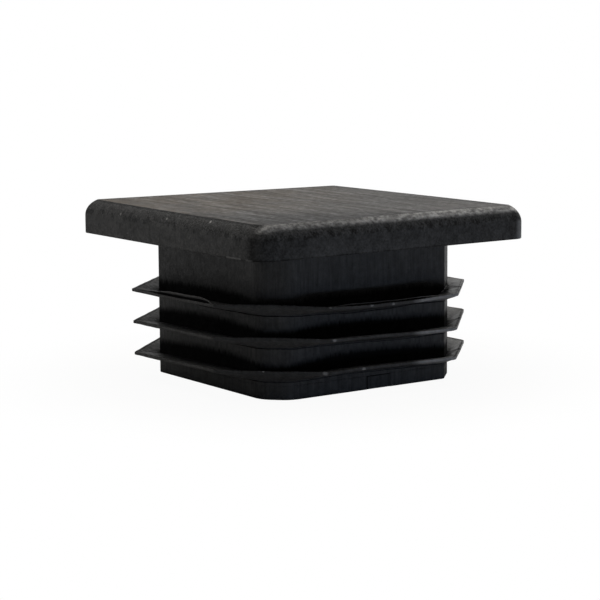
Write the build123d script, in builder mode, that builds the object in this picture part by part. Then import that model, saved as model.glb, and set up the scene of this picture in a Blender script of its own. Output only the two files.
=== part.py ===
"""Ribbed end cap for a square tube, moulded in one piece.

Lengths are in millimetres and angles in degrees. The origin is the centre of the head's
underside, which seats on the end of the tube. +Z points up through the head, and the plug
hangs below it.
"""

import os
from math import radians, sin, sqrt

from build123d import *

# Head: the square plate that covers the end of the tube
head_width = 50.0
head_thickness = 5.2
head_corner_radius = 0.9
head_edge_radius = 3.0
head_edge_arc = 60.0

# Plug: the hollow square body that goes into the tube, with its corners cut at 45 degrees
plug_width = 35.8
plug_depth = 22.0
plug_corner_cut = 3.3
plug_bend_radius = 2.0
plug_end_chamfer = 0.2

# Hollow: the space that the mould's core leaves, open at the plug's lower end
plug_wall = 2.0
hollow_roof = 3.0
hollow_draft = 0.5
hollow_roof_chamfer = 0.5
hollow_bend_radius = 1.2

# Fins: thin flared lips round the plug, which bend as they grip the tube's bore
fin_count = 3
fin_span = 48.4
fin_span_step = 0.15
fin_corner_cut = 12.5
fin_bend_radius = 0.3
fin_first_drop = 7.85
fin_pitch = 4.95
fin_edge_thickness = 0.42
fin_land_width = 0.3
fin_flare = 1.9
fin_root_thickness = 0.9

# Recess: the shallow mark of a mould insert, at the lower end of the plug's +X side
recess_width = 4.5
recess_height = 2.1
recess_depth = 0.3
recess_centre_y = 1.8


def plug_outline(inset=0.0, bend_radius=plug_bend_radius):
    """Draw the plug's square in the current sketch, its corners cut at 45 degrees with soft bends.

    With an inset it is the square that lies that far inside, all the way round.
    """
    width = plug_width - 2 * inset
    corner_cut = plug_corner_cut - inset * (2 - sqrt(2))
    with BuildSketch(mode=Mode.PRIVATE) as outline:
        Rectangle(width, width)
        chamfer(outline.vertices(), corner_cut)
        fillet(outline.vertices(), bend_radius)
    add(outline.sketch)


def fin_outline(number, inset=0.0):
    """Draw a fin's rim in the current sketch: a square with its corners cut at 45 degrees."""
    span = fin_span - number * fin_span_step
    with BuildSketch(mode=Mode.PRIVATE) as rim:
        Rectangle(span, span)
        chamfer(rim.vertices(), fin_corner_cut)
        if inset:
            offset(amount=-inset, mode=Mode.REPLACE)
        fillet(rim.vertices(), fin_bend_radius)
    add(rim.sketch)


def make_fin(number):
    """Build one fin, counted from 0 below the head. It flares outward and up from the plug."""
    rim_top = -fin_first_drop - number * fin_pitch
    rim_bottom = rim_top - fin_edge_thickness
    root_bottom = rim_top - fin_flare
    root_top = root_bottom + fin_root_thickness
    with BuildPart() as fin:
        # Underside
        with BuildSketch(Plane.XY.offset(root_bottom)):
            plug_outline()
        with BuildSketch(Plane.XY.offset(rim_bottom)):
            fin_outline(number)
        loft(ruled=True)
        # Rim
        with BuildSketch(Plane.XY.offset(rim_bottom)):
            fin_outline(number)
        extrude(amount=fin_edge_thickness)
        # Upper side, dished from the land on the rim down to the plug
        with BuildSketch(Plane.XY.offset(root_top)):
            plug_outline()
        with BuildSketch(Plane.XY.offset(rim_top)):
            fin_outline(number, fin_land_width)
        loft(ruled=True, mode=Mode.SUBTRACT)
    return fin.part


def make_hollow():
    """Build the space inside the plug, which narrows upward by its draft into the head."""
    hollow_top = head_thickness - hollow_roof
    depth = plug_depth + hollow_top
    with BuildPart() as hollow:
        with BuildSketch(Plane.XY.offset(-plug_depth)):
            plug_outline(plug_wall, hollow_bend_radius)
        extrude(amount=depth, taper=hollow_draft)
        chamfer(hollow.faces().sort_by(Axis.Z)[-1].edges(), hollow_roof_chamfer)
    return hollow.part


def make_head():
    """Build the head. Its edge rounds over by head_edge_arc and meets the flat top in a crease."""
    crown = head_edge_radius * (1 - sin(radians(head_edge_arc)))
    with BuildPart() as head:
        with BuildSketch():
            Rectangle(head_width, head_width)
        extrude(amount=head_thickness + crown)
        fillet(head.edges().filter_by(Axis.Z), head_corner_radius)
        fillet(head.faces().sort_by(Axis.Z)[-1].edges(), head_edge_radius)
        split(bisect_by=Plane.XY.offset(head_thickness), keep=Keep.BOTTOM)
    return head.part


def make_plug():
    """Build the plug's outside as a solid block, with its lower edge broken."""
    with BuildPart() as plug:
        with BuildSketch():
            plug_outline()
        extrude(amount=-plug_depth)
        chamfer(plug.faces().sort_by(Axis.Z)[0].edges(), plug_end_chamfer)
    return plug.part


fins = [make_fin(number) for number in range(fin_count)]
head_plate = make_head()
plug_block = make_plug()
hollow_space = make_hollow()

with BuildPart() as end_cap:
    add(head_plate)
    add(plug_block)
    add(fins)
    add(hollow_space, mode=Mode.SUBTRACT)
    with BuildSketch(Plane.YZ.offset(plug_width / 2)):
        with Locations((recess_centre_y, -plug_depth)):
            Rectangle(recess_width, recess_height, align=(Align.CENTER, Align.MIN))
    extrude(amount=-recess_depth, mode=Mode.SUBTRACT)

end_cap.part.label = "end_cap"
os.makedirs("parts", exist_ok=True)
export_step(end_cap.part, "parts/end_cap.step")
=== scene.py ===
"""Looks for the square tube end cap: one moulded mesh, its black plastic, and a plain studio.

The mesh is made in millimetres from loops of points, and set into the frame in metres. Azimuth
turns from -Y towards +X, so the camera looks at the cap's -Y and +X sides.
"""

from math import atan2, cos, pi, radians, sin, sqrt, tan

import bpy
import numpy as np
from mathutils import Matrix, Vector, noise


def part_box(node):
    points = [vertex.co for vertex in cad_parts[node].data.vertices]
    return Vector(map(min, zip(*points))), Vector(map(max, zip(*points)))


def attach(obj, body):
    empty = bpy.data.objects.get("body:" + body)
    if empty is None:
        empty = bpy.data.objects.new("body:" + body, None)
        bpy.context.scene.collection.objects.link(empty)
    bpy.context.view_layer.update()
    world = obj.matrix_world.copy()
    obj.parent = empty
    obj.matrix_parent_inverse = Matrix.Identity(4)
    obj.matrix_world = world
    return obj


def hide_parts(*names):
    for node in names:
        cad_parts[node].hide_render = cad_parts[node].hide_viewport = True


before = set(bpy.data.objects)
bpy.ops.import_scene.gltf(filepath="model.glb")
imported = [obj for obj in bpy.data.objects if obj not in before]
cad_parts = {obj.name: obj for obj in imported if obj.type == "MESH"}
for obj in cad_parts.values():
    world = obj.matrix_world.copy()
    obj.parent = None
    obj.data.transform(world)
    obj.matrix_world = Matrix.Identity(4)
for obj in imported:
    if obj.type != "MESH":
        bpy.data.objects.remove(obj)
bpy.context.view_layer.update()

MM = 0.001

# Outer sizes, in millimetres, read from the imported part
LOW, HIGH = (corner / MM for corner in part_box("end_cap"))
HEAD_HALF = HIGH.x
HEAD_TOP = HIGH.z
PLUG_END = LOW.z

# Head. Its corner radii run round from (+X, -Y), and shrink by a share of the way in over the
# edge. The top isn't quite level: it rises towards the (-X, -Y) corner and falls towards the
# (-X, +Y) one, and it falls a little over a width along its edges.
HEAD_CORNER_RADII = (2.8, 1.7, 0.9, 0.35)
HEAD_TOP_RADIUS = 0.35
HEAD_CORNER_SHARPENING = 0.35
HEAD_LOWER_EDGE = 0.15
HEAD_LOWER_EDGE_LOOPS = 4
HEAD_UNDERSIDE_SHARES = (0.05, 0.5, 0.95)
HEAD_EDGE_RADIUS = 3.0
HEAD_EDGE_ARC = radians(60.0)
HEAD_EDGE_LOOPS = 12
HEAD_FLAT_SHARE = 0.72
HEAD_BEND_SHARES = (0.3, 0.7)
HEAD_LEFT_RISE = 0.3
HEAD_BACK_FALL = 0.15
TOP_FALL = 0.035
TOP_FALL_WIDTH = 2.2
TOP_FALL_SHARES = (0.02, 0.2, 0.45, 0.7, 1.0)
TOP_INSETS = (6.0, 10.0, 15.0, 20.0, 23.0)

# Plug and its hollow. The corners' cuts and bends run round from (+X, -Y). The rows at the plug's
# end are insets from its wall, and heights above its end.
PLUG_HALF = 17.9
PLUG_CUTS = (3.3, 3.3, 3.3, 3.85)
PLUG_BENDS = (3.8, 0.5, 2.0, 0.5)
PLUG_END_EDGE = 0.2
PLUG_END_ROWS = ((0.05, 0.06), (0.0, PLUG_END_EDGE), (0.0, 0.6), (0.0, 1.4), (0.0, 1.85))
PLUG_WALL = 2.0
HOLLOW_ROOF = 3.0
HOLLOW_DRAFT = radians(0.5)
HOLLOW_ROOF_EDGE = 0.5
HOLLOW_ROOF_SHARES = (0.25, 0.5, 0.75, 1.0)
HOLLOW_END_EDGE = 0.05
HOLLOW_BENDS = (1.2, 1.2, 1.2, 1.2)

# Fins, counted from 0 below the head. A pair of cuts has one along each of the corner's sides.
FIN_COUNT = 3
FIN_HALF = 24.2
FIN_HALF_STEP = 0.075
FIN_CUTS = (
    (12.5, (12.1, 13.0), 12.5, 12.5),
    (12.5, (12.2, 12.8), 12.5, 12.5),
    (12.5, (12.2, 12.6), 12.5, 12.5),
)
FIN_FIRST_DROP = 7.85
FIN_PITCH = 4.95
FIN_EDGE = 0.42
FIN_LAND = 0.3
FIN_FLARE = 1.9
FIN_ROOT = 0.9
FIN_BENDS = ((0.15, 1.0, 0.15, 0.15), (0.5, 2.0, 0.5, 0.5), (0.5, 1.8, 0.5, 0.5))

# Where a fin's loops lie: shares of the way out along its underside and back along its upper side,
# and for its rim the insets from it, with the drops below its top
FIN_UNDERSIDE_SHARES = (0.0, 0.02, 0.15, 0.35, 0.55, 0.75, 0.9, 0.985)
FIN_UPPER_SHARES = (0.01, 0.1, 0.3, 0.5, 0.7, 0.85, 0.97, 1.0)
FIN_RIM_ROWS = ((0.012, 0.40), (0.0, 0.35), (0.0, 0.06), (0.018, 0.018), (0.06, 0.0))

# How far each fin stands above its level place, at azimuths round the cap. The moulding has
# left them a little warped, most of all at the (+X, -Y) corner.
FIN_LIFT_AZIMUTHS = (-65, -26, 0, 26, 45, 64, 75, 90, 103, 116, 135, 154, 200)
FIN_LIFTS = (
    (-0.15, 0.2, 0.2, 0.35, 0.5, 0.3, 0.05, 0.0, 0.05, 0.3, 0.15, 0.1, 0.0),
    (-0.3, 0.1, 0.25, 0.4, 0.55, 0.5, 0.4, 0.25, 0.05, 0.0, 0.15, 0.2, 0.0),
    (-0.35, 0.05, 0.25, 0.5, 0.45, 0.6, 0.7, 0.6, 0.5, 0.4, 0.15, 0.15, 0.0),
)
FIN_RIPPLE = 0.05
FIN_RIPPLE_LENGTH = 2.5

# Thin lip that stands up behind the first fin's rim, past a groove, and dies away at its ends.
# Its profile has insets from the rim, heights as shares, and how pale (1) or dark (-1) it is.
# The dark is painted shade in the groove and on the lip's lower face, and the pale is a painted
# highlight up its face and along its crest.
LIP_HEIGHT = 0.55
LIP_PROFILE = (
    (0.12, 0.0, 0.0), (0.22, -0.5, -1.0), (1.2, -0.5, -1.0), (0.96, 0.2, -0.9), (0.9, 0.4, 0.2),
    (0.92, 0.9, 0.3), (1.0, 1.0, 0.3), (1.15, 0.9, 0.0), (1.35, 0.0, 0.0),
)
LIP_AZIMUTHS = (-30, -22, -12, -5, 17, 25, 64, 72, 104, 112)
LIP_SHARES = (0.0, 0.1, 0.4, 1.0, 1.0, 0.0, 0.0, 0.45, 0.4, 0.0)

# Undercut in the plug's wall below each fin, and the share of its height over which it slopes in
UNDERCUT_DEPTH = 0.3
UNDERCUT_HEIGHT = 0.22
UNDERCUT_SLOPE = 0.2

# How far the first fin's root climbs the plug's (+X, +Y) corner
ROOT_CLIMB_AZIMUTHS = (126, 129, 141, 165)
ROOT_CLIMBS = (0.0, 0.6, 0.85, 0.0)

# Painted shade on the wall above each fin, where the fin keeps light off: how far it reaches
# above the rim at the middle of a side, how much less at the corners and at the front one, and
# the height over which it fades out
SHADE_TOPS = (1.0, 1.5, 1.4)
SHADE_CORNER_FALL = 0.7
SHADE_FRONT_FALL = 0.8
SHADE_FADE = 1.0

# Painted shade: how dark it is on the wall and at a fin's root, on its land, and on its rim. That
# at the root starts at a share of the way in from the rim, and is less at the corners.
PAINTED_SHADE = -1.0
LAND_SHADE = -0.5
RIM_SHADE = -0.1
ROOT_SHADE_START = 0.6
ROOT_SHADE_CORNER_FALL = 0.6

# Single pale marks: place, radius, and how pale each is. The first four are specks on the plastic,
# and the rest, on the fins' rims, are painted glints where small nicks catch the light.
SPECKS_AND_GLINTS = (
    ((-13.75, -24.8, 3.9), 0.3, 1.6),
    ((-0.25, -24.55, 4.25), 0.3, 1.6),
    ((11.3, -24.1, 4.7), 0.33, 3.0),
    ((16.9, -18.9, -17.2), 0.35, 2.0),
    ((24.2, -11.9, -7.4), 0.5, 1.0),
    ((24.2, -4.3, -7.8), 0.45, 1.0),
    ((24.2, -0.3, -8.1), 0.4, 0.8),
    ((24.1, -11.1, -12.4), 0.5, 1.0),
    ((23.4, -12.3, -17.3), 0.6, 1.0),
    ((24.0, -5.7, -17.4), 0.5, 1.0),
)

# Pale lines: two ends, radius, and how pale each is. The first two paint a highlight on the burr
# along the first fin's root at the plug's (+X, +Y) corner; the others are on the head's lower edge.
PALE_LINES = (
    ((17.9, 13.9, -8.42), (17.9, 14.6, -7.78), 0.22, 3.0),
    ((17.9, 14.6, -7.78), (14.6, 17.9, -7.68), 0.22, 4.0),
    ((16.8, -25.0, 0.12), (20.4, -25.0, 0.12), 0.2, 0.6),
    ((21.8, -25.0, 0.14), (23.4, -24.9, 0.12), 0.2, 0.5),
)

# Share of a mark's radius within which it has its full strength
MARK_CORE = 0.3

# Recess left by a mould insert, on the +X side. Each of its walls slopes over a short way. A point
# counts as on that side when it lies within a reach of it.
RECESS_DEPTH = 0.3
RECESS_TOP = -19.9
RECESS_SIDES = (-0.45, 4.05)
RECESS_WALL = 0.06
SIDE_REACH = 0.5

# Columns of points round each side of a loop: those of its flat, where shares that agree to some
# digits are one, and those of its corner. Each bend of a cut corner takes a share of the corner's
# columns, and so does the lead to a bend that starts past the flat.
FLAT_COUNT = 64
SHARE_DIGITS = 5
CORNER_COUNT = 56
LEAD_SHARE = 0.03
BEND_SHARE = 0.2
BEND_STEPS = 9

# Rows of points up a stretch of wall between two fins and below the head, and the power that
# crowds them towards the fin below
WALL_ROWS = 12
TOP_WALL_ROWS = 18
ROW_CROWDING = 1.6

# Camera, fitted to the cap's outline. Its distance, its pans and its sensor are in millimetres, its
# angles in degrees, and its clip in metres.
CAMERA_AZIMUTH = 54.896
CAMERA_ELEVATION = 8.300
CAMERA_ROLL = -0.377
CAMERA_DISTANCE = 312.601
CAMERA_PAN_RIGHT = -0.243
CAMERA_PAN_UP = -10.185
CAMERA_FOCAL_PIXELS = 1978.184
CAMERA_IMAGE_PIXELS = 600
CAMERA_SENSOR = 36.0
CAMERA_CLIP = (0.01, 10.0)

# Floor. Reaches and radii are metres from the cap's axis, and each pair is where a fade starts
# and ends: the light that it sheds, the white that the camera sees, and the white in reflections.
FLOOR_REACH = 3.0
FLOOR_ALBEDO = 0.9
FLOOR_DARK_RADII = (0.07, 0.1)
FLOOR_WHITE_RADII = (0.028, 0.058)
FLOOR_NEAR_WHITE = 0.95
FLOOR_MIRROR_RADII = (0.03, 0.09)

# White of the floor and the surroundings as they are seen, and the dim light that the surroundings
# shed
WHITE = (1.0, 1.0, 1.0, 1.0)
DIM_COLOUR = (0.9, 0.95, 1.0, 1.0)
DIM_STRENGTH = 0.005

# Lamps: name, azimuth, elevation, distance and size in metres, power in watts, and colour
LAMPS = (
    ("overhead", 255, 76, 0.6, (0.9, 0.9), 3.9, (1.0, 0.96, 0.90)),
    ("left_card", 315, 2, 0.11, (0.05, 0.03), 0.004, (1.0, 1.0, 1.0)),
    ("right_card", 90, -15, 0.0757, (0.10, 0.004), 0.0063, (0.6, 0.74, 1.0)),
)

# Sockets of a Mix node that mixes colours
MIX_FACTOR, MIX_FIRST, MIX_SECOND = 0, 6, 7
MIX_RESULT = 2

# Plastic: its two blacks, where the lumps of the warm one fade in and from what share, and what
# adds to its roughness or takes from it
COLD_BLACK = (0.045, 0.045, 0.045, 1.0)
WARM_BLACK = (0.055, 0.044, 0.032, 1.0)
WARM_LUMPS = (-0.15, 0.1, 0.5)
SPECULAR_LEVEL = 0.05
ROUGHNESS = 0.5
ROUGHNESS_MOTTLE = 0.5
TIP_SMOOTHING = -0.13
STREAK_SMOOTHING = -0.4
SHADE_SMOOTHING = -0.5
BUMP_DISTANCE = 0.00005
EDGE_BUMP = 3.0

# Main parts of the surface: the height where the head starts, how far the rounded edge and the top
# face upward as they fade in, and how far out along X or Y the fins fade in
HEAD_START = -0.01
EDGE_FACING = (0.05, 0.3)
TOP_FACING = (0.9, 0.96)
FIN_START = (18.05, 18.5)

# Parts within them: what each lies in, and the measures that fade it in, each from a first limit to
# a last one. Two numbers more are its strengths there, where they aren't 0 and 1. The limits are
# millimetres or, where the measure is of the way that the surface faces, shares of 1.
PARTS = {
    "edge_foot_shade": ("head", (("facing_up", 0.05, 0.15), ("facing_up", 0.5, 0.3))),
    "left_crease_shade": ("edge", (("facing_up", 0.76, 0.84), ("facing_minus_y", 0.2, 0.4))),
    "right_edge_highlight": (
        "edge",
        (("facing_plus_x", 0.25, 0.45), ("facing_up", 0.48, 0.72), ("y", -18.0, 10.0, 1.0, 1.9)),
    ),
    "front_corner_shade": ("sides", (("near_corner", 40.0, 47.0),)),
    "far_corner_highlight": ("sides", (("right_corner", 47.8, 48.8),)),
    "lower_edge": ("sides", (("z", 0.3, 0.1),)),
    "front": ("top", (("near_corner", 5.0, 42.0),)),
    "warm_top": ("top", (("right_corner", -22.0, 22.0, 1.1, 0.3),)),
    "left_band_highlight": ("top", (("y", -21.5, -23.4),)),
    "right_band": ("top", (("x", 20.5, 22.5), ("x", 23.4, 22.5))),
    "far_band": ("top", (("far_edges", 21.2, 22.6),)),
    "tips": ("fins", (("any_corner", 27.0, 30.0), ("facing_up", 0.2, 0.6))),
    "right_tips_sheen": ("fins", (("right_corner", 27.0, 30.0),)),
}

# Noises of the plastic: what each axis is scaled by, lumps a millimetre, and detail
EVEN = (1, 1, 1)
NOISES = {
    "grain": (EVEN, 3.5, 3.0),
    "mottle": (EVEN, 0.9, 4.0),
    "flow": ((1, 1, 0.07), 2.4, 3.0),
    "streaks": ((0.12, 1, 1), 0.6, 3.0),
    "side_streaks": ((1, 0.12, 1), 1.1, 3.0),
    "sparkle": ((1, 0.6, 1), 1.8, 5.0),
    "sheen": (EVEN, 1.2, 4.0),
    "lumps": (EVEN, 0.2, 3.0),
}
NOISE_ROUGHNESS = 0.55
SPARKLE_LIMITS = (-0.16, 0.22)

# How pale each part is: a level over the base colour's 1, and how strongly each noise varies it
TONES = {
    "top": (0.0, {"streaks": 1.2, "mottle": 1.0}),
    "edge": (0.0, {"grain": 3.5, "mottle": 2.0}),
    # Painted shade: a dark band on the -Y rounded edge just under the crease
    "left_crease_shade": (-1.2, {}),
    # Painted shade on the lower part of the rounded edge, where it turns down from the light
    "edge_foot_shade": (-0.25, {"mottle": 2.5}),
    # Painted highlight, broken into sparkle, on the upper part of the +X rounded edge
    "right_edge_highlight": (1.9, {"sparkle": 5.5}),
    "sides": (0.0, {"grain": 2.0, "mottle": 2.0}),
    # Painted shade: the head's sides darker towards the front corner
    "front_corner_shade": (-0.4, {}),
    "lower_edge": (-0.5, {}),
    "fins": (0.0, {"mottle": 1.0}),
    # Painted sheen on the fins' upper sides at the corners, with mottled grain
    "tips": (0.2, {"mottle": 4.0, "grain": 4.0}),
    # Painted sheen on the fins at the (+X, +Y) corner
    "right_tips_sheen": (4.1, {}),
    # Painted highlight on the head's (+X, +Y) corner, where light from behind on the right catches
    # it
    "far_corner_highlight": (3.8, {}),
    "plug": (0.1, {"flow": 1.5, "mottle": 1.0}),
    # Painted shade: the top darker towards the front corner
    "front": (-1.0, {}),
    # Painted highlight along the top just inside the -Y crease
    "left_band_highlight": (0.5, {}),
    "right_band": (-0.3, {"side_streaks": 3.5}),
    "far_band": (-0.5, {}),
}
# Least tone, how much the pale marks and painted highlights add, how much the painted shade takes
# off, and how strongly its edges fray
TONE_FLOOR = 0.15
PALE_MARK_TONE = 3.5
SHADE_TONE = -0.93
FRAYING = 8.0


def cut_pair(cut):
    """A corner's cut along its first and its second side."""
    return cut if isinstance(cut, tuple) else (cut, cut)


def bends_of(half, cut, radius, inset):
    """The two soft bends of a cut corner, for an outline that lies inside by an inset.

    Each is its centre, its first and last angle, and where it starts or ends along its side.
    """
    first, second = cut_pair(cut)
    spare = first + second - sqrt(first ** 2 + second ** 2)
    first, second = first - inset * spare / second, second - inset * spare / first
    turn = atan2(first, second)
    half = half - inset
    start = half - first - radius * tan(turn / 2)
    end = half - second - radius * tan((pi / 2 - turn) / 2)
    return ((start, half - radius), (0, turn)), ((half - radius, end), (turn, pi / 2)), (start, end)


def flat_columns():
    """Shares from -1 to 1 along a side's flat, with a close pair at each side of the recess."""
    reaches = [bends_of(PLUG_HALF, *corner, 0.0)[2] for corner in zip(PLUG_CUTS, PLUG_BENDS)]
    low, high = RECESS_SIDES
    edges = np.array([low, low + RECESS_WALL, high - RECESS_WALL, high]) / np.min(reaches)
    shares = np.concatenate([np.linspace(-1, 1, FLAT_COUNT + 1), edges])
    return np.unique(shares.round(SHARE_DIGITS))


FLAT_COLUMNS = flat_columns()
CORNER_COLUMNS = np.linspace(0, 1, CORNER_COUNT + 1)[1:-1]
COLUMNS = 4 * (len(FLAT_COLUMNS) + len(CORNER_COLUMNS))


def corner_path(half, flat, bends):
    """Points from the end of one side's flat to the start of the next, round some arcs.

    A bend is its centre, radius, first and last angle, and first and last share of the columns.
    """
    shares, path = [0.0], [(flat, half)]
    for (along, outward), radius, angles, span in bends:
        for angle in np.linspace(*angles, BEND_STEPS):
            path.append((along + radius * sin(angle), outward + radius * cos(angle)))
        shares.extend(np.linspace(*span, BEND_STEPS))
    shares.append(1.0)
    path.append((half, flat))
    return [np.interp(CORNER_COLUMNS, shares, axis) for axis in zip(*path)]


def loop(half, flat, corners):
    """Points round the cap, counter-clockwise from above, starting on the -Y side."""
    sides = []
    for side, (bend_along, bend_outward) in enumerate(corners):
        along = np.concatenate([FLAT_COLUMNS * flat, bend_along])
        outward = np.concatenate([np.full(len(FLAT_COLUMNS), half), bend_outward])
        turned = ((along, -outward), (outward, along), (-along, outward), (-outward, -along))
        sides.append(np.stack(turned[side], 1))
    return np.concatenate(sides)


def cut_loop(half, cuts, radii, inset):
    """A square with its corners cut across, and a soft bend at each end of a cut.

    With an inset it is the outline that lies that far inside, all the way round.
    """
    bent = [bends_of(half, cut, radius, inset) for cut, radius in zip(cuts, radii)]
    flat = np.min([reach for _, _, reach in bent])
    corners = []
    for (first, second, (start, end)), radius in zip(bent, radii):
        opening = LEAD_SHARE if start > flat else 0.0
        closing = LEAD_SHARE if end > flat else 0.0
        bends = (
            (first[0], radius, first[1], (opening, BEND_SHARE)),
            (second[0], radius, second[1], (1 - BEND_SHARE, 1 - closing)),
        )
        corners.append(corner_path(half - inset, flat, bends))
    return loop(half - inset, flat, corners)


def plug_loop(inset=0.0, bends=PLUG_BENDS):
    """The plug's outline, or the one that lies inside it."""
    return cut_loop(PLUG_HALF, PLUG_CUTS, bends, inset)


def fin_loop(number, inset=0.0):
    """A fin's rim, or the outline that lies inside it."""
    return cut_loop(FIN_HALF - number * FIN_HALF_STEP, FIN_CUTS[number], FIN_BENDS[number], inset)


def head_loop(inset=0.0):
    """The head's square, with corners that sharpen as it goes in over the edge."""
    half = HEAD_HALF - inset
    flat = HEAD_FLAT_SHARE * half
    corners = []
    for lower_radius in HEAD_CORNER_RADII:
        radius = max(lower_radius - HEAD_CORNER_SHARPENING * inset, HEAD_TOP_RADIUS)
        centre = half - radius
        bend = (centre, centre), radius, (0, pi / 2), HEAD_BEND_SHARES
        corners.append(corner_path(half, flat, (bend,)))
    return loop(half, flat, corners)


def azimuths(outline):
    """Degrees round the cap from -Y towards +X, from -180 to 180, for each point of a loop."""
    return np.degrees(np.arctan2(outline[:, 0], -outline[:, 1]))


def ripple(outline, length, depth, seed):
    """A smooth uneven height for each point of a loop."""
    places = np.column_stack([outline / length, np.full(len(outline), seed)])
    return depth * np.array([noise.noise(Vector(place)) for place in places])


class Shell:
    """A closed skin that grows by one loop of points after another."""

    def __init__(self):
        self.loops = []
        self.sharp = []
        self.wear = []

    def add(self, outline, height, sharp=False, wear=0.0):
        """Add a loop at one height, or at a height for each point.

        It goes from -1, where painted shade darkens the plastic, to 1, where a painted highlight
        makes it pale.
        """
        heights = np.broadcast_to(height, len(outline))
        self.loops.append(np.column_stack([outline, heights]))
        self.sharp.append(sharp)
        self.wear.append(np.broadcast_to(wear, len(outline)))

    def build(self, name):
        """Return the mesh object, with both ends closed and its creases marked sharp."""
        points = np.concatenate(self.loops) * MM
        columns = np.arange(COLUMNS)
        beside = np.roll(columns, -1)
        faces = [tuple(columns[::-1].tolist())]
        for row in range(len(self.loops) - 1):
            low, high = row * COLUMNS, (row + 1) * COLUMNS
            quads = np.stack([columns + low, beside + low, beside + high, columns + high], 1)
            faces.extend(map(tuple, quads.tolist()))
        faces.append(tuple((columns + (len(self.loops) - 1) * COLUMNS).tolist()))
        mesh = bpy.data.meshes.new(name)
        mesh.from_pydata(points.tolist(), [], faces)
        mesh.polygons.foreach_set("use_smooth", [True] * len(mesh.polygons))
        for edge in mesh.edges:
            first, second = (index // COLUMNS for index in edge.vertices)
            edge.use_edge_sharp = first == second and self.sharp[first]
        wear = mesh.attributes.new("wear", "FLOAT", "POINT")
        wear.data.foreach_set("value", np.concatenate(self.wear))
        piece = bpy.data.objects.new(name, mesh)
        bpy.context.scene.collection.objects.link(piece)
        return piece


def add_hollow(shell):
    """Roof of the hollow, then its walls down to the plug's end."""
    roof = HEAD_TOP - HOLLOW_ROOF
    draft = (roof - PLUG_END) * tan(HOLLOW_DRAFT)
    roof_outline = plug_loop(PLUG_WALL + draft + HOLLOW_ROOF_EDGE, HOLLOW_BENDS)
    for share in HOLLOW_ROOF_SHARES:
        shell.add(roof_outline * share, roof, sharp=share == 1.0)
    top = plug_loop(PLUG_WALL + draft, HOLLOW_BENDS)
    shell.add(top, roof - HOLLOW_ROOF_EDGE, sharp=True)
    shell.add(plug_loop(PLUG_WALL, HOLLOW_BENDS), PLUG_END + HOLLOW_END_EDGE)
    shell.add(plug_loop(PLUG_WALL - HOLLOW_END_EDGE, HOLLOW_BENDS), PLUG_END)


def fin_lift(number, outline):
    """How far a fin's points stand above their level place."""
    lift = np.interp(azimuths(outline), FIN_LIFT_AZIMUTHS, FIN_LIFTS[number], period=360)
    return lift + ripple(outline, FIN_RIPPLE_LENGTH, FIN_RIPPLE, seed=number)


def fin_root(number):
    """A fin's root on the plug: the heights of its lower and its upper side."""
    wall = plug_loop()
    lower = -FIN_FIRST_DROP - number * FIN_PITCH - FIN_FLARE + fin_lift(number, wall)
    return lower, lower + FIN_ROOT + root_climb(number, wall)


def root_climb(number, outline):
    """How far a fin's root stands above its level place, on its upper side only."""
    climb = np.interp(azimuths(outline), ROOT_CLIMB_AZIMUTHS, ROOT_CLIMBS)
    return climb if number == 0 else climb * 0


def cornerness(outline):
    """How near a corner each point of the plug's outline is, from 0 at the middle of a side."""
    return np.abs(outline).min(1) / PLUG_HALF


def wall_shade(number, outline, height):
    """Painted shade on the wall above a fin, or none where no fin is below."""
    if number is None:
        return 0.0
    corner = cornerness(outline) ** 2
    front = np.clip((outline[:, 0] - outline[:, 1]) / (2 * PLUG_HALF), 0, 1) ** 2
    rim_top = -FIN_FIRST_DROP - number * FIN_PITCH + fin_lift(number, outline)
    top = rim_top + SHADE_TOPS[number] - (SHADE_CORNER_FALL + SHADE_FRONT_FALL * front) * corner
    return PAINTED_SHADE * np.clip(0.5 + (top - height) / SHADE_FADE, 0, 1)


def add_wall(shell, lower, upper, rows, number=None):
    """A stretch of the plug's outer wall between two heights, its ends left out."""
    wall = plug_loop()
    for share in np.linspace(0, 1, rows + 2)[1:-1] ** ROW_CROWDING:
        height = lower + (upper - lower) * share
        # Painted shade above the fin below
        shell.add(wall, height, wear=wall_shade(number, wall, height))


def on_right_side(outline, first, last):
    """Which points of a loop lie on the plug's +X side, between two places along it."""
    on_side = outline[:, 0] > PLUG_HALF - SIDE_REACH
    return on_side & (outline[:, 1] > first) & (outline[:, 1] < last)


def press_recess(outline):
    """Push the points between the recess's sides in by its depth."""
    low, high = RECESS_SIDES
    slack = RECESS_WALL / 2
    pressed = outline.copy()
    pressed[on_right_side(outline, low + slack, high - slack), 0] = PLUG_HALF - RECESS_DEPTH
    return pressed


def recess_shade(outline, at_top):
    """Painted shade in the recess: along its -Y side, and along its top."""
    low, high = RECESS_SIDES
    slack = 2 * RECESS_WALL
    last = high if at_top else low + slack
    return np.where(on_right_side(outline, low - slack, last), PAINTED_SHADE, 0.0)


def add_plug_end(shell):
    """The plug's lower end, with its broken edge and the recess on the +X side."""
    shell.add(press_recess(plug_loop(PLUG_END_EDGE)), PLUG_END)
    wall = plug_loop()
    # Painted shade along the recess's -Y side and along its top
    for inset, rise in PLUG_END_ROWS:
        outline = press_recess(plug_loop(inset))
        shell.add(outline, PLUG_END + rise, wear=recess_shade(wall, False))
    shell.add(press_recess(wall), RECESS_TOP - RECESS_WALL, wear=recess_shade(wall, True))
    shell.add(wall, RECESS_TOP, wear=recess_shade(wall, True))
    shell.add(wall, RECESS_TOP + RECESS_WALL)


def lip_height(outline):
    """How far the lip on the first fin has grown at each point of a loop, from 0 to 1."""
    return np.interp(azimuths(outline), LIP_AZIMUTHS, LIP_SHARES)


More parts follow.
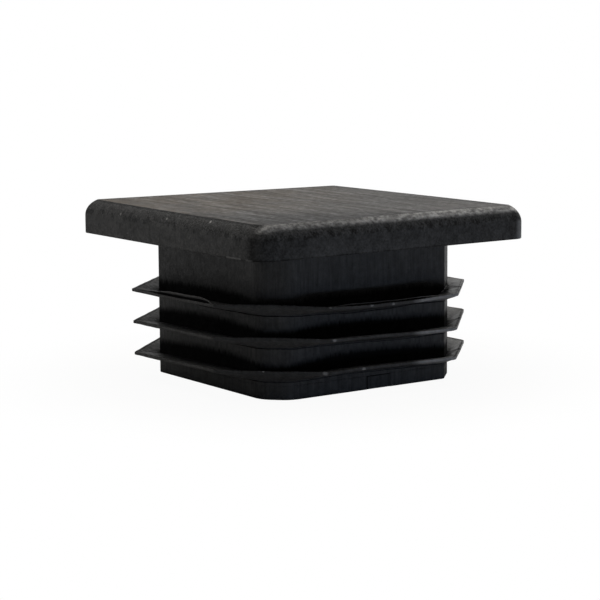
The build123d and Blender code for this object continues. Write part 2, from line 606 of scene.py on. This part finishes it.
def add_fin(shell, number):
    """One fin: its underside, its rim, and its dished upper side back to the plug."""
    rim_top = -FIN_FIRST_DROP - number * FIN_PITCH
    root_bottom = rim_top - FIN_FLARE
    rim_bottom = rim_top - FIN_EDGE
    root_top = root_bottom + FIN_ROOT
    wall = plug_loop()
    rim = fin_loop(number)
    undercut = plug_loop(UNDERCUT_DEPTH)
    level = root_bottom + fin_lift(number, wall)
    shell.add(wall, level - UNDERCUT_HEIGHT, sharp=True)
    shell.add(undercut, level - (1 - UNDERCUT_SLOPE) * UNDERCUT_HEIGHT)
    shell.add(undercut, level)
    for share in FIN_UNDERSIDE_SHARES:
        outline = wall + (rim - wall) * share
        height = root_bottom + (rim_bottom - root_bottom) * share
        shell.add(outline, height + fin_lift(number, outline), sharp=share == 0)
    for inset, drop in FIN_RIM_ROWS:
        outline = fin_loop(number, inset)
        # Painted shade on the land, and a little on the rim
        wear = RIM_SHADE if drop else LAND_SHADE
        shell.add(outline, rim_top - drop + fin_lift(number, outline), wear=wear)
    land = fin_loop(number, FIN_LAND) if number else add_lip(shell, rim_top)
    drop = root_top + root_climb(number, wall) - rim_top
    corner = cornerness(wall) ** 4
    for share in FIN_UPPER_SHARES:
        outline = land + (wall - land) * share
        height = rim_top + drop * share + fin_lift(number, outline)
        # Painted shade on the upper side towards the root, less at the corners, and on the land
        rooted = max(0.0, share - ROOT_SHADE_START) / (1 - ROOT_SHADE_START)
        wear = PAINTED_SHADE * rooted * (1 - ROOT_SHADE_CORNER_FALL * corner)
        if share == FIN_UPPER_SHARES[0]:
            wear = wear + LAND_SHADE
        shell.add(outline, height, sharp=share == 1, wear=wear)


def add_lip(shell, rim_top):
    """The groove behind the first fin's rim, and the thin lip past it. Returns the last outline."""
    level_insets = np.linspace(LIP_PROFILE[0][0], FIN_LAND, len(LIP_PROFILE))
    # Painted shade in the groove behind the rim, painted highlight along the lip's crest
    for (inset, rise, wear), level_inset in zip(LIP_PROFILE, level_insets):
        level = fin_loop(0, level_inset)
        grown = lip_height(level)
        formed = np.minimum(1.0, 2 * grown)
        outline = level + (fin_loop(0, inset) - level) * formed[:, None]
        height = rim_top + rise * LIP_HEIGHT * grown + fin_lift(0, outline)
        shell.add(outline, height, wear=wear * formed)
    return outline


def head_rise(outline):
    """How far the head's top stands above its level place."""
    left = ((HEAD_HALF - outline[:, 0]) / (2 * HEAD_HALF)) ** 2
    front = (HEAD_HALF - outline[:, 1]) / (2 * HEAD_HALF)
    return left * (HEAD_LEFT_RISE * front - HEAD_BACK_FALL * (1 - front))


def add_head(shell):
    """The head's underside, side, rounded edge and flat top."""
    inner, outer = plug_loop(), head_loop(HEAD_LOWER_EDGE)
    shell.add(inner, 0.0, sharp=True)
    for share in HEAD_UNDERSIDE_SHARES:
        shell.add(inner + (outer - inner) * share, 0.0)
    for angle in np.linspace(0, pi / 2, HEAD_LOWER_EDGE_LOOPS):
        inset = HEAD_LOWER_EDGE * (1 - sin(angle))
        shell.add(head_loop(inset), HEAD_LOWER_EDGE * (1 - cos(angle)))
    start = HEAD_TOP - HEAD_EDGE_RADIUS * sin(HEAD_EDGE_ARC) - TOP_FALL
    side = head_loop()
    shell.add(side, (HEAD_LOWER_EDGE + start) / 2 + head_rise(side) / 2)
    for angle in np.linspace(0, HEAD_EDGE_ARC, HEAD_EDGE_LOOPS):
        outline = head_loop(HEAD_EDGE_RADIUS * (1 - cos(angle)))
        shell.add(outline, start + HEAD_EDGE_RADIUS * sin(angle) + head_rise(outline))
    shell.sharp[-1] = True
    crease = HEAD_EDGE_RADIUS * (1 - cos(HEAD_EDGE_ARC))
    for share in TOP_FALL_SHARES:
        outline = head_loop(crease + share * TOP_FALL_WIDTH)
        shell.add(outline, HEAD_TOP - TOP_FALL * (1 - share) ** 2 + head_rise(outline))
    for inset in TOP_INSETS:
        outline = head_loop(inset)
        shell.add(outline, HEAD_TOP + head_rise(outline))


def make_end_cap():
    """The whole cap as one closed mesh."""
    shell = Shell()
    add_hollow(shell)
    add_plug_end(shell)
    below, fin_below = RECESS_TOP, None
    for number in reversed(range(FIN_COUNT)):
        lower, upper = fin_root(number)
        add_wall(shell, below, lower - UNDERCUT_HEIGHT, WALL_ROWS, fin_below)
        add_fin(shell, number)
        below, fin_below = upper, number
    add_wall(shell, below, 0.0, TOP_WALL_ROWS, fin_below)
    add_head(shell)
    return shell.build("end_cap_moulding")


def direction(azimuth, elevation):
    """A unit vector from the cap towards a place at an azimuth and an elevation, in degrees."""
    turn, height = radians(azimuth), radians(elevation)
    return Vector((sin(turn) * cos(height), -cos(turn) * cos(height), sin(height)))


def make_camera():
    """The photograph's camera, fitted to the cap's outline."""
    back = direction(CAMERA_AZIMUTH, CAMERA_ELEVATION)
    right = (-back).cross(Vector((0, 0, 1))).normalized()
    up = right.cross(-back)
    place = (back * CAMERA_DISTANCE + right * CAMERA_PAN_RIGHT + up * CAMERA_PAN_UP) * MM
    roll = radians(CAMERA_ROLL)
    right, up = right * cos(roll) + up * sin(roll), up * cos(roll) - right * sin(roll)
    data = bpy.data.cameras.new("photo_camera")
    data.sensor_width = CAMERA_SENSOR
    data.lens = CAMERA_FOCAL_PIXELS * CAMERA_SENSOR / CAMERA_IMAGE_PIXELS
    data.clip_start, data.clip_end = CAMERA_CLIP
    camera = bpy.data.objects.new("photo_camera", data)
    turned = Matrix((right, up, back)).transposed().to_4x4()
    camera.matrix_world = Matrix.Translation(place) @ turned
    bpy.context.scene.collection.objects.link(camera)
    bpy.context.scene.camera = camera
    bpy.context.scene.view_settings.view_transform = "Standard"


class Tree:
    """A short way to write shader nodes."""

    def __init__(self, tree):
        self.tree = tree
        tree.nodes.clear()

    def add(self, kind, *links, **settings):
        """Add a node. Inputs come in order as links or values; settings are its properties."""
        made = self.tree.nodes.new(kind)
        for key, value in settings.items():
            setattr(made, key, value)
        for place, value in enumerate(links):
            self.put(made, place, value)
        return made

    def put(self, made, place, value):
        """Give one input, by its number or its name, a link or a value."""
        if value is None:
            return
        socket = made.inputs[place]
        if isinstance(value, bpy.types.NodeSocket):
            self.tree.links.new(value, socket)
        else:
            socket.default_value = value

    def math(self, operation, first, second=None, third=None):
        """A Math node's result."""
        return self.add("ShaderNodeMath", first, second, third, operation=operation).outputs[0]

    def total(self, *terms):
        """The sum of some terms."""
        result = terms[0]
        for term in terms[1:]:
            result = self.math("ADD", result, term)
        return result

    def product(self, *factors):
        """The product of some factors."""
        result = factors[0]
        for factor in factors[1:]:
            result = self.math("MULTIPLY", result, factor)
        return result

    def fade(self, value, first, last, start=0.0, end=1.0):
        """Pass smoothly from start to end as a value goes from a first limit to a last one."""
        inputs = (value, first, last, start, end)
        return self.add("ShaderNodeMapRange", *inputs, interpolation_type="SMOOTHSTEP").outputs[0]

    def stretch(self, place, scale):
        """A place with each axis times a scale of its own."""
        return self.vector("MULTIPLY", "Vector", place, scale)

    def noise(self, place, scale, detail):
        """Noise about zero, at most 0.5 from it, with a scale in lumps a millimetre."""
        made = self.add("ShaderNodeTexNoise", place, None, scale, detail, NOISE_ROUGHNESS)
        return self.math("SUBTRACT", made.outputs["Fac"], 0.5)

    def vector(self, operation, output, *links):
        """A Vector Math node's result: its vector or, by name, its value."""
        return self.add("ShaderNodeVectorMath", *links, operation=operation).outputs[output]

    def scaled(self, vector, factor):
        """A vector, or a colour, times a factor."""
        made = self.add("ShaderNodeVectorMath", vector, operation="SCALE")
        self.put(made, "Scale", factor)
        return made.outputs["Vector"]


def seen_directly(tree):
    """1 for camera, glossy and transmission rays, 0 for the rays that carry diffuse light."""
    path = tree.add("ShaderNodeLightPath").outputs
    mirrored = tree.math("MAXIMUM", path["Is Glossy Ray"], path["Is Transmission Ray"])
    return tree.math("MAXIMUM", path["Is Camera Ray"], mirrored)


def make_world():
    """White where it is seen or mirrored, dim for the light it sheds."""
    world = bpy.data.worlds.new("studio")
    bpy.context.scene.world = world
    world.use_nodes = True
    tree = Tree(world.node_tree)
    white = tree.add("ShaderNodeBackground", WHITE, 1.0)
    dim = tree.add("ShaderNodeBackground", DIM_COLOUR, DIM_STRENGTH)
    mix = tree.add("ShaderNodeMixShader", seen_directly(tree), dim.outputs[0], white.outputs[0])
    tree.add("ShaderNodeOutputWorld", mix.outputs[0])


def floor_material():
    """Pale under the cap, and plain white to the camera away from the cap's shadow."""
    material = bpy.data.materials.new("pale_floor")
    material.use_nodes = True
    tree = Tree(material.node_tree)
    place = tree.add("ShaderNodeNewGeometry").outputs["Position"]
    away = tree.vector("LENGTH", "Value", tree.stretch(place, (1, 1, 0)))
    direct = seen_directly(tree)
    shed = tree.fade(away, *FLOOR_DARK_RADII, FLOOR_ALBEDO, 0.0)
    albedo = tree.math("MAXIMUM", shed, tree.product(direct, FLOOR_ALBEDO))
    diffuse = tree.add("ShaderNodeBsdfDiffuse", albedo)
    glow = tree.add("ShaderNodeEmission", WHITE, 1.0)
    camera = tree.add("ShaderNodeLightPath").outputs["Is Camera Ray"]
    seen_white = tree.product(camera, tree.fade(away, *FLOOR_WHITE_RADII, FLOOR_NEAR_WHITE))
    mirrored_white = tree.product(direct, tree.fade(away, *FLOOR_MIRROR_RADII))
    share = tree.math("MAXIMUM", seen_white, mirrored_white)
    mix = tree.add("ShaderNodeMixShader", share, diffuse.outputs[0], glow.outputs[0])
    tree.add("ShaderNodeOutputMaterial", mix.outputs[0])
    return material


def make_floor():
    """A flat floor at the height of the plug's end."""
    mesh = bpy.data.meshes.new("floor")
    reach, height = FLOOR_REACH, PLUG_END * MM
    corners = [(-reach, -reach), (reach, -reach), (reach, reach), (-reach, reach)]
    mesh.from_pydata([(x, y, height) for x, y in corners], [], [(0, 1, 2, 3)])
    mesh.materials.append(floor_material())
    floor = bpy.data.objects.new("floor", mesh)
    bpy.context.scene.collection.objects.link(floor)


def make_lamps():
    """A large warm lamp overhead, and a low bounce card on the left and on the right."""
    for name, azimuth, elevation, distance, size, power, colour in LAMPS:
        back = direction(azimuth, elevation)
        data = bpy.data.lights.new(name, "AREA")
        data.shape = "RECTANGLE"
        data.size, data.size_y = size
        data.energy = power
        data.color = colour
        lamp = bpy.data.objects.new(name, data)
        lamp.location = back * distance
        lamp.rotation_euler = back.to_track_quat("Z", "Y").to_euler()
        lamp.visible_camera = False
        bpy.context.scene.collection.objects.link(lamp)


def surface_measures(tree, place, normal):
    """What tells the surface's parts apart: measures of a place, and of the way that it faces.

    The near corner is at (+X, -Y), the right one at (+X, +Y), and the far edges at -X and +Y. A
    corner's measure is the sum of how far a place lies along X and along Y towards it.
    """
    x, y, z = tree.add("ShaderNodeSeparateXYZ", place).outputs
    plus_x, plus_y, up = tree.add("ShaderNodeSeparateXYZ", normal).outputs
    across, along = tree.math("ABSOLUTE", x), tree.math("ABSOLUTE", y)
    return {
        "x": x,
        "y": y,
        "z": z,
        "near_corner": tree.math("SUBTRACT", x, y),
        "right_corner": tree.total(x, y),
        "far_edges": tree.math("MAXIMUM", tree.product(x, -1.0), y),
        "any_edge": tree.math("MAXIMUM", across, along),
        "any_corner": tree.total(across, along),
        "facing_plus_x": plus_x,
        "facing_minus_y": tree.product(plus_y, -1.0),
        "facing_up": up,
    }


def surface_masks(tree, measures):
    """How strongly each place belongs to each part of the surface."""
    head = tree.math("GREATER_THAN", measures["z"], HEAD_START)
    rounded = tree.product(head, tree.fade(measures["facing_up"], *EDGE_FACING))
    top = tree.product(head, tree.fade(measures["facing_up"], *TOP_FACING))
    below = tree.math("SUBTRACT", 1.0, head)
    fins = tree.product(below, tree.fade(measures["any_edge"], *FIN_START))
    masks = {
        "head": head,
        "top": top,
        "edge": tree.math("SUBTRACT", rounded, top),
        "sides": tree.math("SUBTRACT", head, rounded),
        "fins": fins,
        "plug": tree.math("SUBTRACT", below, fins),
    }
    for name, (within, fades) in PARTS.items():
        steps = [tree.fade(measures[measure], *limits) for measure, *limits in fades]
        masks[name] = tree.product(masks[within], *steps)
    return masks


def surface_noises(tree, place):
    """The plastic's noises, from its fine grain to the streaks across its top."""
    noises = {}
    for name, (axes, scale, detail) in NOISES.items():
        noises[name] = tree.noise(tree.stretch(place, axes), scale, detail)
    noises["sparkle"] = tree.fade(noises["sparkle"], *SPARKLE_LIMITS)
    return noises


def distance_to_line(tree, place, start, end):
    """How far a place is from the nearest point of a line between two ends."""
    line = Vector(end) - Vector(start)
    along = tree.vector("SUBTRACT", "Vector", place, start)
    share = tree.vector("DOT_PRODUCT", "Value", along, line / line.length_squared)
    share = tree.math("MINIMUM", tree.math("MAXIMUM", share, 0.0), 1.0)
    return tree.vector("DISTANCE", "Value", along, tree.scaled(line, share))


def single_marks(tree, place):
    """The pale that each speck, painted glint and pale line adds, the burr's painted highlight
    among them.
    """
    added = []
    for spot, radius, strength in SPECKS_AND_GLINTS:
        away = tree.vector("DISTANCE", "Value", place, spot)
        added.append(tree.fade(away, MARK_CORE * radius, radius, strength, 0.0))
    for start, end, radius, strength in PALE_LINES:
        away = distance_to_line(tree, place, start, end)
        added.append(tree.fade(away, MARK_CORE * radius, radius, strength, 0.0))
    return added


def plastic_tone(tree, place, masks, noises):
    """How pale each surface is, as a factor on the base colour, and what the painted shade takes
    from it.
    """
    shifts = []
    for name, (level, strengths) in TONES.items():
        terms = [tree.product(noises[kind], strength) for kind, strength in strengths.items()]
        shifts.append(tree.product(masks[name], tree.total(level, *terms)))
    part_tone = tree.total(1.0, *shifts)
    # Painted shade where the attribute is below 0; specks, pale lines and painted highlights above
    # it
    wear = tree.add("ShaderNodeAttribute", attribute_name="wear").outputs["Fac"]
    wear = tree.total(wear, *single_marks(tree, place))
    paled = tree.product(tree.math("MAXIMUM", wear, 0.0), PALE_MARK_TONE)
    shade_amount = tree.math("MAXIMUM", tree.product(wear, -1.0), 0.0)
    shade_amount = tree.math("MINIMUM", shade_amount, 1.0)
    frayed = tree.product(shade_amount, tree.math("SUBTRACT", 1.0, shade_amount), noises["flow"], FRAYING)
    shade_loss = tree.product(tree.total(shade_amount, frayed), SHADE_TONE)
    marked_tone = tree.math("MAXIMUM", tree.total(part_tone, paled), TONE_FLOOR)
    return tree.product(marked_tone, tree.total(1.0, shade_loss)), shade_loss


def plastic_colour(tree, masks, noises, tone):
    """The base colour: two blacks, mixed in lumps on the top, times the tone."""
    lumps = tree.fade(noises["lumps"], *WARM_LUMPS)
    tint = tree.add("ShaderNodeMix", data_type="RGBA")
    tree.put(tint, MIX_FACTOR, tree.product(masks["warm_top"], lumps))
    tree.put(tint, MIX_FIRST, COLD_BLACK)
    tree.put(tint, MIX_SECOND, WARM_BLACK)
    return tree.scaled(tint.outputs[MIX_RESULT], tone)


def black_plastic():
    """Moulded black polyethylene: grained, with specks and flow marks down the plug, and painted
    highlights, sheen and shade.
    """
    material = bpy.data.materials.new("black_plastic")
    material.use_nodes = True
    tree = Tree(material.node_tree)
    place = tree.stretch(tree.add("ShaderNodeTexCoord").outputs["Object"], (1 / MM,) * 3)
    normal = tree.add("ShaderNodeNewGeometry").outputs["Normal"]
    masks = surface_masks(tree, surface_measures(tree, place, normal))
    noises = surface_noises(tree, place)
    tone, shade_loss = plastic_tone(tree, place, masks, noises)
    roughness = tree.total(
        ROUGHNESS,
        tree.product(masks["right_tips_sheen"], TIP_SMOOTHING),
        tree.product(masks["top"], noises["streaks"], STREAK_SMOOTHING),
        tree.product(noises["sheen"], ROUGHNESS_MOTTLE),
        tree.product(shade_loss, SHADE_SMOOTHING),
    )
    bumpiness = tree.total(1.0, tree.product(masks["edge"], EDGE_BUMP), masks["fins"])
    bump = tree.add("ShaderNodeBump")
    tree.put(bump, "Height", tree.product(noises["grain"], bumpiness))
    tree.put(bump, "Distance", BUMP_DISTANCE)
    shader = tree.add("ShaderNodeBsdfPrincipled")
    tree.put(shader, "Base Color", plastic_colour(tree, masks, noises, tone))
    tree.put(shader, "Roughness", roughness)
    tree.put(shader, "Specular IOR Level", SPECULAR_LEVEL)
    tree.put(shader, "Normal", bump.outputs[0])
    tree.add("ShaderNodeOutputMaterial", shader.outputs[0])
    return material


make_camera()
end_cap = make_end_cap()
end_cap.data.materials.append(black_plastic())
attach(end_cap, "root")
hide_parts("end_cap")
make_floor()
make_world()
make_lamps()
